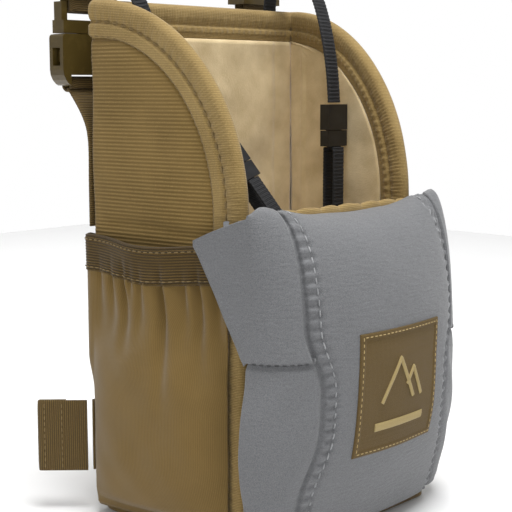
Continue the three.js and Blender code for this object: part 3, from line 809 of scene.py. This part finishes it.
def wrap_round(run, z, standoff):
    """Off the wing's rear corner the pocket comes down to the back, standing proud above the side webbing."""
    proud = lerp(0.9, 4.2, smooth(62, 84, z)) * smooth(-CORNER_LENGTH - 1.5, -CORNER_LENGTH * 0.5, run)
    turned = lerp(np.maximum(proud, 0.9), standoff, smooth(-CORNER_LENGTH * 0.6, 1, run))
    return np.where(run < 0, turned, standoff)


def sag(run):
    """How far the elastic drops between its ends."""
    return -2.6 * hump(run, 42, 26)


def make_pockets():
    corner = np.linspace(-CORNER_LENGTH - 1.5, 0, 14)[:-1]
    run = np.concatenate([corner, np.linspace(0, POCKET["front"] - 1.7, 130)])
    share = np.clip((run + 0.7) / (POCKET["front"] - 1), 0, 1)
    for side, k in SIDES:
        z = np.linspace(POCKET["bottom"] - 4, POCKET["top"] + 1.2, 150)[:, None]
        under = smooth(POCKET["bottom"] - 4, POCKET["bottom"] + 5, z)
        lift = wrap_round(run, z, pocket_standoff(share, np.maximum(z, POCKET["bottom"])))
        folds = gathers(run, z) + 0.5 * ripple(run, z, 26, 50 + k) * smooth(2, 20, z)
        out = np.maximum(lift + folds * smooth(-4, 6, run), 0.9) * lerp(0.55, 1, under)
        grid = skin(np.broadcast_to(run, out.shape), z + sag(run) * smooth(86, POCKET["top"], z), out)
        cloth(f"pocket_cloth_{side}", mirrored(grid, k), "stretch_fabric", "pack",
              [f"side_pocket_{side}"], 1.1, flip=k > 0)
        make_pocket_elastic(side, k, run, share)


def make_pocket_elastic(side, k, run, share):
    low, high = POCKET["top"] + 0.3, POCKET["mouth"]
    z = np.linspace(low, high, 61)[:, None]
    v = (z - low) / (high - low)
    lift = wrap_round(run, z, pocket_standoff(share, z))
    rib = 0.16 * np.cos(2 * np.pi * (z - low) / 1.5)
    knurl = 0.22 * np.cos(2 * np.pi * run / 1.7) * (hump(v, 0.05, 0.05) + hump(v, 0.95, 0.05))
    wave = 0.35 * gathers(run, POCKET["top"] - 1) * (1 - smooth(0, 0.8, v)) * smooth(-4, 6, run)
    out = lift + 0.7 + rib + knurl + wave + 0.25 * ripple(run, z, 22, 60 + k)
    grid = skin(np.broadcast_to(run, out.shape), z + sag(run), np.maximum(out, 1.9))
    cloth(f"pocket_binding_{side}", mirrored(grid, k), "elastic_band", "pack",
          [f"pocket_elastic_{side}"], 1.8, flip=k > 0)
    for v_row in (0.1, 0.9):
        row_z = lerp(low, high, v_row)
        height = wrap_round(run, row_z, pocket_standoff(share, row_z)) + 1.0
        height = height + 0.25 * ripple(run, row_z, 22, 60 + k)
        if v_row < 0.5:
            height = height + 0.35 * gathers(run, POCKET["top"] - 1) * smooth(-4, 6, run)
        height = np.maximum(height, 2.1)
        line = mirrored(skin(run, row_z + sag(run), height), k)
        above = mirrored(skin(run, row_z + sag(run), height + 1), k)
        row = "low" if v_row < 0.5 else "high"
        sew(f"elastic_stitches_{side}_{row}", "pack", line, above - line, 3.4, "tan_thread", 2.2, 0.6, 0.0)


# ---- front cover
def cover_half(z):
    return COVER_HALF + 6.5 * np.exp(-(((z - 52) / 34) ** 2))


def crest_of(x):
    return CREST + 6.5 * smooth(25, 66, np.abs(x)) - 3.5 * smooth(66, 74, np.abs(x))


def seam_at(z):
    """Distance from the middle to the seam between the centre panel and the side."""
    return 58 - 7.5 * smooth(111, 80, z) + 6.5 * smooth(60, 28, z)


def cover_rows(count_low, count_roll, count_in):
    """Each row of the cover: height share up to the belly, then the angle over the roll, then down inside."""
    counts = (("low", count_low), ("roll", count_roll), ("in", count_in))
    return [(kind, t) for kind, count in counts for t in np.linspace(0, 1, count)[int(kind != "low"):]]


def cover_point(angle, row, out):
    """Outer face of the cover at a plan angle from -1 (left) to 1 (right), moved out by out."""
    kind, t = row
    across = signed_power(np.sin(angle * np.pi / 2), PLAN_POWER)
    depth_share = np.clip(np.cos(angle * np.pi / 2), 0, 1) ** PLAN_POWER
    if kind == "low":
        z = np.full_like(angle, lerp(COVER_BOTTOM, BELLY_Z, t))
        depth = COVER_DEPTH * (1 - 0.6 * ((BELLY_Z - z) / BELLY_Z) ** 2) + out
        x, lift = (cover_half(z) + out) * across, 0
    else:
        x0 = COVER_HALF * across
        crest = crest_of(x0)
        phi = t * np.pi / 2 if kind == "roll" else np.pi / 2
        z = BELLY_Z + (crest - BELLY_Z) * np.sin(phi) ** ROLL_POWER
        depth = COVER_DEPTH * max(np.cos(phi), 0) ** ROLL_POWER + out * max(np.cos(phi), 0)
        x, lift = (cover_half(z) + out) * across, out * np.sin(phi)
    y = COVER_REAR_Y - depth * depth_share
    if kind == "in":
        turn = np.pi * min(t * 2.2, 1) / 2
        y = y + 2.6 * np.sin(turn)
        z = z - 3.2 * (1 - np.cos(turn)) - 13 * max(t - 0.4545, 0)
    return np.stack([x, y, z + lift], -1)


def cover_grid(angles, rows, relief):
    return np.array([cover_point(angles, row, relief(cover_point(angles, row, 0), row)) for row in rows])


def cover_relief(points, row):
    """Seam, topstitch and puff of the cover's panels."""
    x, z = np.abs(points[:, 0]), points[:, 2]
    off = x - seam_at(z)
    stitched = 1 - smooth(140, 156, z) * (row[0] == "in")
    puff = 1.5 * smooth(0, -11, off) + 1.0 * smooth(0, 8, off)
    seam = -2.3 * hump(off, 0, 1.5)
    pucker = hump(off, -4.6, 3.6) * 0.8 * np.cos(2 * np.pi * z / 5.4) - 0.9 * hump(off, -7, 1.2)
    soft = 0.5 * ripple(points[:, 0], z, 44, 71) * smooth(0, -14, off)
    creases = 0.6 * ripple(z * 0.75 + x, x * 0.3, 13, 72) * smooth(2, 8, off) * smooth(96, 84, z)
    under_ear = -1.2 * smooth(1, 4, off) * smooth(91, 95, z)
    hem = -0.8 * smooth(12, 6, z)
    return (puff + seam + pucker) * stitched + soft + creases + under_ear + hem


def make_cover():
    angles = np.linspace(-1, 1, 241)
    rows = cover_rows(100, 86, 16)
    cloth("cover_cloth", cover_grid(angles, rows, cover_relief), "grey_softshell", "cover",
          ["cover_shell", "cover_bolster"], 2.2)
    low, high = extent("cover_foam")[0][2], extent("cover_foam")[1][2]
    z = np.linspace(low + 0.5, high - 0.5, 70)
    lining_rows = [("low", (h - COVER_BOTTOM) / (BELLY_Z - COVER_BOTTOM)) for h in z if h <= BELLY_Z]
    lining_rows += [("roll", math.asin(((h - BELLY_Z) / (CREST - BELLY_Z)) ** (1 / ROLL_POWER)) * 2 / math.pi)
                    for h in z if h > BELLY_Z]
    quilt = lambda points, row: -3.0 + 0.3 * ripple(points[:, 0], points[:, 2], 24, 80)
    cloth("cover_padding", cover_grid(np.linspace(-0.985, 0.985, 121), lining_rows, quilt), "foam",
          "cover", ["cover_foam"], 3.4)
    for side, k in SIDES:
        make_cover_stitches(side, k, angles, rows)


def make_cover_stitches(side, k, angles, rows):
    """The topstitch row, 7 mm to the middle of each seam."""
    half = angles[angles >= 0]
    line, above = [], []
    for row in rows[3:-10]:
        base = cover_point(half, row, 0)
        off = base[:, 0] - (seam_at(base[:, 2]) - 7)
        i = int(np.argmax(off > 0))
        if i == 0:
            continue
        t = off[i - 1] / (off[i - 1] - off[i])
        angle = np.array([lerp(half[i - 1], half[i], t)])
        height = cover_relief(cover_point(angle, row, 0), row)
        line.append(cover_point(angle, row, height + 0.25)[0])
        above.append(cover_point(angle, row, height + 1.25)[0])
    line, above = mirrored(np.array(line), k), mirrored(np.array(above), k)
    sew(f"cover_stitches_{side}", "cover", line, above - line, 5.4, "grey_thread", 3.6, 0.85)


# ---- ears
EAR = {"root": np.array([73.6, -49.4]), "tip": np.array([77.4, -17.4]), "foot": 92.5, "thick": 2.4}


def make_ears():
    """Each ear panel runs from the cover's seam, round its side, to the free tip that lies on the wing."""
    flap = np.linspace(0, 1, 50)[1:]
    on_cover = np.linspace(0, 1, 34)
    up = np.linspace(0, 1, 90)
    for side, k in SIDES:
        columns = []
        for t in on_cover:
            columns.append(ear_on_cover(t, up))
        for t in flap:
            columns.append(ear_flap(t, up))
        grid = np.moveaxis(np.array(columns), 0, 1)
        piece = surface(f"ear_panel_{side}", mirrored(grid, k), "grey_softshell", flip=k < 0)
        thicken(piece, EAR["thick"])
        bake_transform(piece)
        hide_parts(f"ear_{side}")


def make_ear_stitches():
    """Dark stitches that hold the foot of each ear panel to the cover's side."""
    for side, k in SIDES:
        line = np.array([ear_on_cover(t, [0.03])[0] for t in np.linspace(0.04, 0.9, 40)])
        out = line - np.array([0, COVER_REAR_Y + 6, 0])
        out[:, 2] = 0
        out /= np.linalg.norm(out, axis=1, keepdims=True)
        path = mirrored(line + out * 0.2, k)
        sew(f"ear_stitches_{side}", "cover", path, mirrored(out, k), 3.6, "dark_thread", 2.4, 0.75, 0.1)


def ear_on_cover(t, up):
    """A column of the ear panel where it lies over the cover's side."""
    points = []
    for v in up:
        z = lerp(EAR["foot"], crest_of(66) - 0.2, v)
        share = min(max((z - BELLY_Z) / (CREST + 6.5 - BELLY_Z), 0), 1)
        row = ("roll", math.asin(share ** (1 / ROLL_POWER)) * 2 / math.pi)
        first = math.asin(min(((seam_at(z) + 0.8) / cover_half(z)) ** (1 / PLAN_POWER), 1)) * 2 / math.pi
        angle = np.array([lerp(first, 1, t)])
        rise = 1.0 + 0.7 * smooth(0, 0.2, t) * smooth(0, 0.05, v) - 0.9 * (1 - smooth(0, 0.03, v))
        points.append(cover_point(angle, row, rise)[0])
    return np.array(points)


def ear_flap(t, up):
    """A column of the free flap: its foot climbs to the tip and its top comes down to it."""
    plan = lerp(EAR["root"], EAR["tip"], t)
    foot = lerp(EAR["foot"], 146.4, smooth(0, 1, t) * 0.25 + t * 0.75)
    top = lerp(crest_of(COVER_HALF) - 0.2, 149.2, t**1.15)
    z = lerp(foot, top, up)
    wide = cover_half(z) + 1.7 - EAR["root"][0]
    bow = 0.9 * math.sin(math.pi * t) + 0.35 * ripple(np.full_like(z, t * 33), z, 26, 90)
    x = plan[0] + wide * (1 - smooth(0, 0.35, t)) + bow * smooth(0, 0.1, t)
    return np.stack([x, np.full_like(z, plan[1] - 0.6 * (1 - t)), z], -1)


# ---- label
def face_of_cover(x, z, out):
    """A point on the cover's front at x and z."""
    share = np.clip(1 - np.abs(x / cover_half(z)) ** (2 / PLAN_POWER), 0, 1) ** (PLAN_POWER / 2)
    low = 1 - 0.6 * ((BELLY_Z - z) / BELLY_Z) ** 2
    high = np.clip(1 - (np.maximum(z - BELLY_Z, 0) / (CREST - BELLY_Z)) ** 2.2, 0, 1) ** (1 / 2.2)
    depth = COVER_DEPTH * np.where(z < BELLY_Z, low, high)
    puffed = 1.3 + 0.5 * ripple(x, z, 44, 71)
    return np.stack([x, COVER_REAR_Y - depth * share - puffed - out, z], -1)


LABEL = {"half": 31.5, "low": 45.0, "high": 106.0, "fold": 2.6}


def make_label():
    middle, tall = (LABEL["low"] + LABEL["high"]) / 2, (LABEL["high"] - LABEL["low"]) / 2

    def place(a, b, face):
        x, z = a * LABEL["half"], middle + b * tall
        edge = np.minimum((1 - np.abs(a)) * LABEL["half"], (1 - np.abs(b)) * tall)
        fold = 0.45 * (1 - smooth(LABEL["fold"], LABEL["fold"] + 0.8, edge)) * smooth(0, 0.5, edge)
        weave = 0.05 * np.cos(2 * np.pi * z / 1.1)
        out = 0.75 + fold + weave if face > 0 else np.full_like(x, 0.1)
        return face_of_cover(x, z, np.where(edge < 0.05, 0.3, out))

    label = pillow("label_cloth", 90, 90, place, "woven_label")
    settle(label, "cover", ["label_patch"])
    edge = []
    inset = 1.7
    square = ((-1, -1), (1, -1), (1, 1), (-1, 1), (-1, -1))
    for (x0, z0), (x1, z1) in zip(square, square[1:]):
        for t in np.linspace(0, 1, 40, endpoint=False):
            x, z = lerp(x0, x1, t) * (LABEL["half"] - inset), lerp(z0, z1, t) * (tall - inset)
            edge.append((x, middle + z))
    edge = np.array(edge + edge[:1])
    line = face_of_cover(edge[:, 0], edge[:, 1], 1.25)
    out = face_of_cover(edge[:, 0], edge[:, 1], 2.25) - line
    sew("label_stitches", "cover", line, out, 2.9, "light_thread", 2.1, 0.5, 0.0)
    # A plain mark of mountain chevrons over a bar, in satin stitch.
    marks = {
        "peak": ([(-15, 70), (-3, 91), (9, 70)], 2.3),
        "second_peak": ([(3, 77), (8, 85), (16, 70)], 2.3),
        "bar": ([(-19, 58.5), (19, 58.5)], 4.2),
    }
    for name, (corners, width) in marks.items():
        satin(f"label_{name}", corners, width)


def satin(name, corners, width):
    """A raised line of close threads laid across the stroke."""
    path = []
    for (x0, z0), (x1, z1) in zip(corners, corners[1:]):
        count = int(math.hypot(x1 - x0, z1 - z0) / 0.25)
        path += [(lerp(x0, x1, t), lerp(z0, z1, t)) for t in np.linspace(0, 1, count, endpoint=False)]
    path = np.array(path + [corners[-1]], float)
    along = np.gradient(path, axis=0)
    along /= np.linalg.norm(along, axis=1, keepdims=True)
    side = np.stack([-along[:, 1], along[:, 0]], 1)
    turn = np.linspace(0, 2 * np.pi, 14, endpoint=False)
    x = path[:, 0, None] + side[:, 0, None] * np.cos(turn) * width / 2
    z = path[:, 1, None] + side[:, 1, None] * np.cos(turn) * width / 2
    thread = 0.1 * np.cos(np.pi * np.arange(len(path)) / 1.5)[:, None]
    out = 1.0 + (0.5 + thread) * np.sin(turn)
    piece = surface(name, face_of_cover(x, z, out), "mark_thread", wrap=True, caps=True)
    settle(piece, "cover")


# ---- front wall
def make_front_wall():
    low, high = extent("front_wall")

    def place(a, b, face):
        x, z = a * high[0], lerp(low[2], high[2], (b + 1) / 2)
        half = (high[1] - low[1]) / 2
        y = (low[1] + high[1]) / 2 - face * half * rounded(a, b, 14) * (0.92 + 0.08 * ripple(x, z, 30, 100))
        return np.stack([x, y, z], -1)

    wall = pillow("front_wall_cloth", 90, 90, place, "stretch_fabric")
    settle(wall, "pack", ["front_wall"])
    low, high = extent("front_wall_elastic")
    turn = np.linspace(0, 2 * np.pi, 24, endpoint=False)
    x = np.linspace(-high[0], high[0], 260)[:, None]
    puffs = 0.5 + 0.5 * np.abs(np.sin(np.pi * (x + 3 * ripple(x, x, 40, 101)) / 15.5)) ** 0.6
    ends = np.clip(1 - (np.abs(x) / high[0]) ** 12, 0.02, 1) ** 0.5
    middle_z, tall = (low[2] + high[2]) / 2, (high[2] - low[2]) / 2
    deep = (high[1] - low[1]) / 2
    y = (low[1] + high[1]) / 2 + deep * signed_power(np.cos(turn), 0.75) * ends * lerp(0.7, 0.98, puffs)
    z = middle_z + 1.2 * puffs + (tall + 1.4 * puffs) * signed_power(np.sin(turn), 0.85) * ends
    grid = np.stack([np.broadcast_to(x, y.shape), y, z], -1)
    roll = surface("front_wall_roll", grid, "rim_binding", wrap=True, caps=True)
    settle(roll, "pack", ["front_wall_elastic"])


# ---- pads, bottom and hinge tape
def make_pads():
    low, high = extent("back_pad")

    def back(a, b, face):
        x, z = a * high[0], lerp(low[2], high[2], (b + 1) / 2)
        full = rounded(a, b, 12)
        channels = 1 - 0.45 * hump(x, 0, 2.2) - 0.4 * sum(hump(z, h, 2.2) for h in (66, 121, 176))
        y = np.where(face > 0, low[1] - 0.8 + (high[1] - low[1] + 0.8) * full * channels, low[1] - 0.8)
        return np.stack([x, y, z], -1)

    pad = pillow("back_mesh", 70, 150, back, "spacer_mesh", flip=True)
    settle(pad, "pack", ["back_pad"])
    low_b, high_b = extent("bottom_pad")

    def floor_pad(a, b, face):
        y = lerp(low_b[1], high_b[1], (b + 1) / 2)
        x = a * lerp(high_b[0] - 10, high_b[0], (b + 1) / 2)
        z = low_b[2] + (high_b[2] - low_b[2]) * (0.5 + face * 0.5 * rounded(a, b, 10))
        return np.stack([x, y, z], -1)

    pad = pillow("bottom_nap", 60, 50, floor_pad, "brushed_lining")
    settle(pad, "pack", ["bottom_pad"])
    low_p, high_p = extent("bottom_panel")

    def base(a, b, face):
        y = lerp(low_p[1], high_p[1], (b + 1) / 2)
        front, rear = 62.0, high_p[0]
        wide = lerp(front, rear, (b + 1) / 2)
        square = np.sqrt(np.clip(1 - np.abs(b) ** 9, 0, 1))
        x = a * wide * lerp(0.86, 1, square)
        z = high_p[2] / 2 + face * high_p[2] / 2 * rounded(a, b, 30) ** 0.4
        return np.stack([x, y, z], -1)

    panel = pillow("bottom_cloth", 60, 60, base, "stretch_fabric")
    settle(panel, "pack", ["bottom_panel"])
    low_t, high_t = extent("cover_hinge_tape")
    tape = strap("hinge_tape_cloth", [[x, (low_t[1] + high_t[1]) / 2, (low_t[2] + high_t[2]) / 2]
                                      for x in np.linspace(low_t[0], high_t[0], 12)], (0, 1, 0),
                 high_t[1] - low_t[1], high_t[2] - low_t[2], "grey_softshell", 2.0, 0.05)
    settle(tape, "pack", ["cover_hinge_tape"])


# ---- webbing
STRAP = {"x": 64.5, "y": 75.0, "bar": 222.0, "origin": 234.4, "width": 25.0, "thick": 1.6}


def make_webbing():
    y = BACK_Y + 0.4
    for side, k in SIDES:
        middle = np.array([k * STRAP["x"], STRAP["y"], STRAP["origin"]])
        up, back = np.array([0, 0, 1.0]), np.array([0, 1.0, 0])
        ring = racetrack(middle, up, back, 3.3, 24.3, 73.2)
        loop = strap(f"strap_webbing_{side}", ring, (1, 0, 0), STRAP["width"], STRAP["thick"],
                     "tan_webbing", closed=True)
        settle(loop, f"shoulder_strap_{side}", [f"shoulder_strap_{side}"])
        eye = [[k * STRAP["x"], STRAP["y"] + 3.3 * math.sin(t), STRAP["bar"] - 3.3 * math.cos(t)]
               for t in np.linspace(-0.5, 2 * math.pi - 0.9, 22)]
        lead = [[k * STRAP["x"], y + off, z] for off, z in ((0.8, 150), (0.8, 172), (0.9, 194), (5.2, 206))]
        anchor = strap(f"anchor_webbing_{side}", lead + eye, (1, 0, 0), STRAP["width"], STRAP["thick"],
                       "tan_webbing")
        settle(anchor, "pack", [f"shoulder_anchor_{side}"])
        box_stitch(side, k, y)
        make_tab(side, k, y)


def box_stitch(side, k, y):
    """The sewn box that holds the anchor to the back."""
    corners = [(-9, 154), (9, 154), (9, 180), (-9, 180), (-9, 154), (9, 180)]
    path = np.array([[k * (STRAP["x"] + x), y + 1.75, z] for x, z in corners])
    share = np.linspace(0, 1, 30, endpoint=False)[:, None]
    fine = np.concatenate([lerp(a, b, share) for a, b in zip(path, path[1:])])
    backwards = np.tile([0, 1.0, 0], (len(fine), 1))
    sew(f"anchor_stitches_{side}", "pack", fine, backwards, 3.0, "tan_thread", 2.2, 0.6, 0.0)


def make_tab(side, k, y):
    """Wide side webbing: sewn to the back, turned out at the corner and ended in a folded hem."""
    low, high = extent(f"side_tab_{side}")
    z, width = (low[2] + high[2]) / 2, high[2] - low[2]
    hinge, end = np.array([79, 59.5]), np.array([97.5, 78.5])
    along = (end - hinge) / np.linalg.norm(end - hinge)
    out = np.array([-along[1], along[0]])
    at = lambda run, off: [*(hinge + along * run + out * off), z]
    reach = np.linalg.norm(end - hinge)
    fixed = [[53, y + 0.8, z], [62, y + 0.8, z], [70, y + 0.8, z], [75.5, y + 0.8, z], [77.2, y + 1.3, z]]
    flip = lambda path: [[k * p[0], p[1], p[2]] for p in path]
    sewn = strap(f"side_webbing_cloth_{side}", flip(fixed), (0, 0, 1), width, STRAP["thick"], "tan_webbing")
    settle(sewn, "pack", [f"side_webbing_{side}"])
    folded = [at(0.8, -0.8), at(8, -0.8), at(16, -0.8), at(reach - 1.6, -0.8), at(reach - 0.7, 0),
              at(reach - 1.6, 0.8), at(reach - 8, 0.8), at(reach - 14.6, 0.8)]
    tab = strap(f"side_tab_cloth_{side}", flip(folded), (0, 0, 1), width, STRAP["thick"], "tan_webbing")
    settle(tab, f"side_tab_{side}", [f"side_tab_{side}"])
    rows = []
    outs = []
    for face in (1, -1):
        for run in (reach - 3.5, reach - 12.5):
            for h in np.arange(low[2] + 3, high[2] - 2, 3.2):
                rows.append([*(hinge + along * run + out * face * 1.7), h])
                outs.append([*(out * face), 0])
    rows, outs = np.array(rows) * [k, 1, 1], np.array(outs) * [k, 1, 1]
    upright = np.tile([0, 0, 1.0], (len(rows), 1))
    threads = stitches(f"tab_stitches_{side}", rows, upright, outs, "tan_thread", 2.4, 0.6, 0.0)
    settle(threads, f"side_tab_{side}")


# ---- CAD parts that stay
KEPT = {
    "tan_plastic": ("buckle_socket", "buckle_plug", "buckle_prong_outer", "buckle_prong_inner",
                    "strap_keeper"),
    "black_plastic": ("tether_socket", "tether_plug"),
    "magnet": ("wing_magnet", "ear_magnet"),
}


def finish_cad_parts():
    named = [(look, f"{stem}_{side}") for look, stems in KEPT.items() for stem in stems for side, _ in SIDES]
    named += [("black_plastic", "tether_park_bar"), ("stiffener_board", "back_stiffener")]
    for look, node in named:
        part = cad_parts[node]
        part.data.materials.clear()
        part.data.materials.append(LOOK[look])
        bevel = part.modifiers.new("bevel", "BEVEL")
        bevel.width = 0.5 * MM
        bevel.segments = 3
        bevel.limit_method = "ANGLE"
        bevel.angle_limit = math.radians(35)
        bevel.harden_normals = True


make_camera()
make_tethers()
make_studio()
make_wings()
make_back()
make_rim()
make_linings()
make_pockets()
make_cover()
make_ears()
make_ear_stitches()
make_label()
make_front_wall()
make_pads()
make_webbing()
finish_cad_parts()
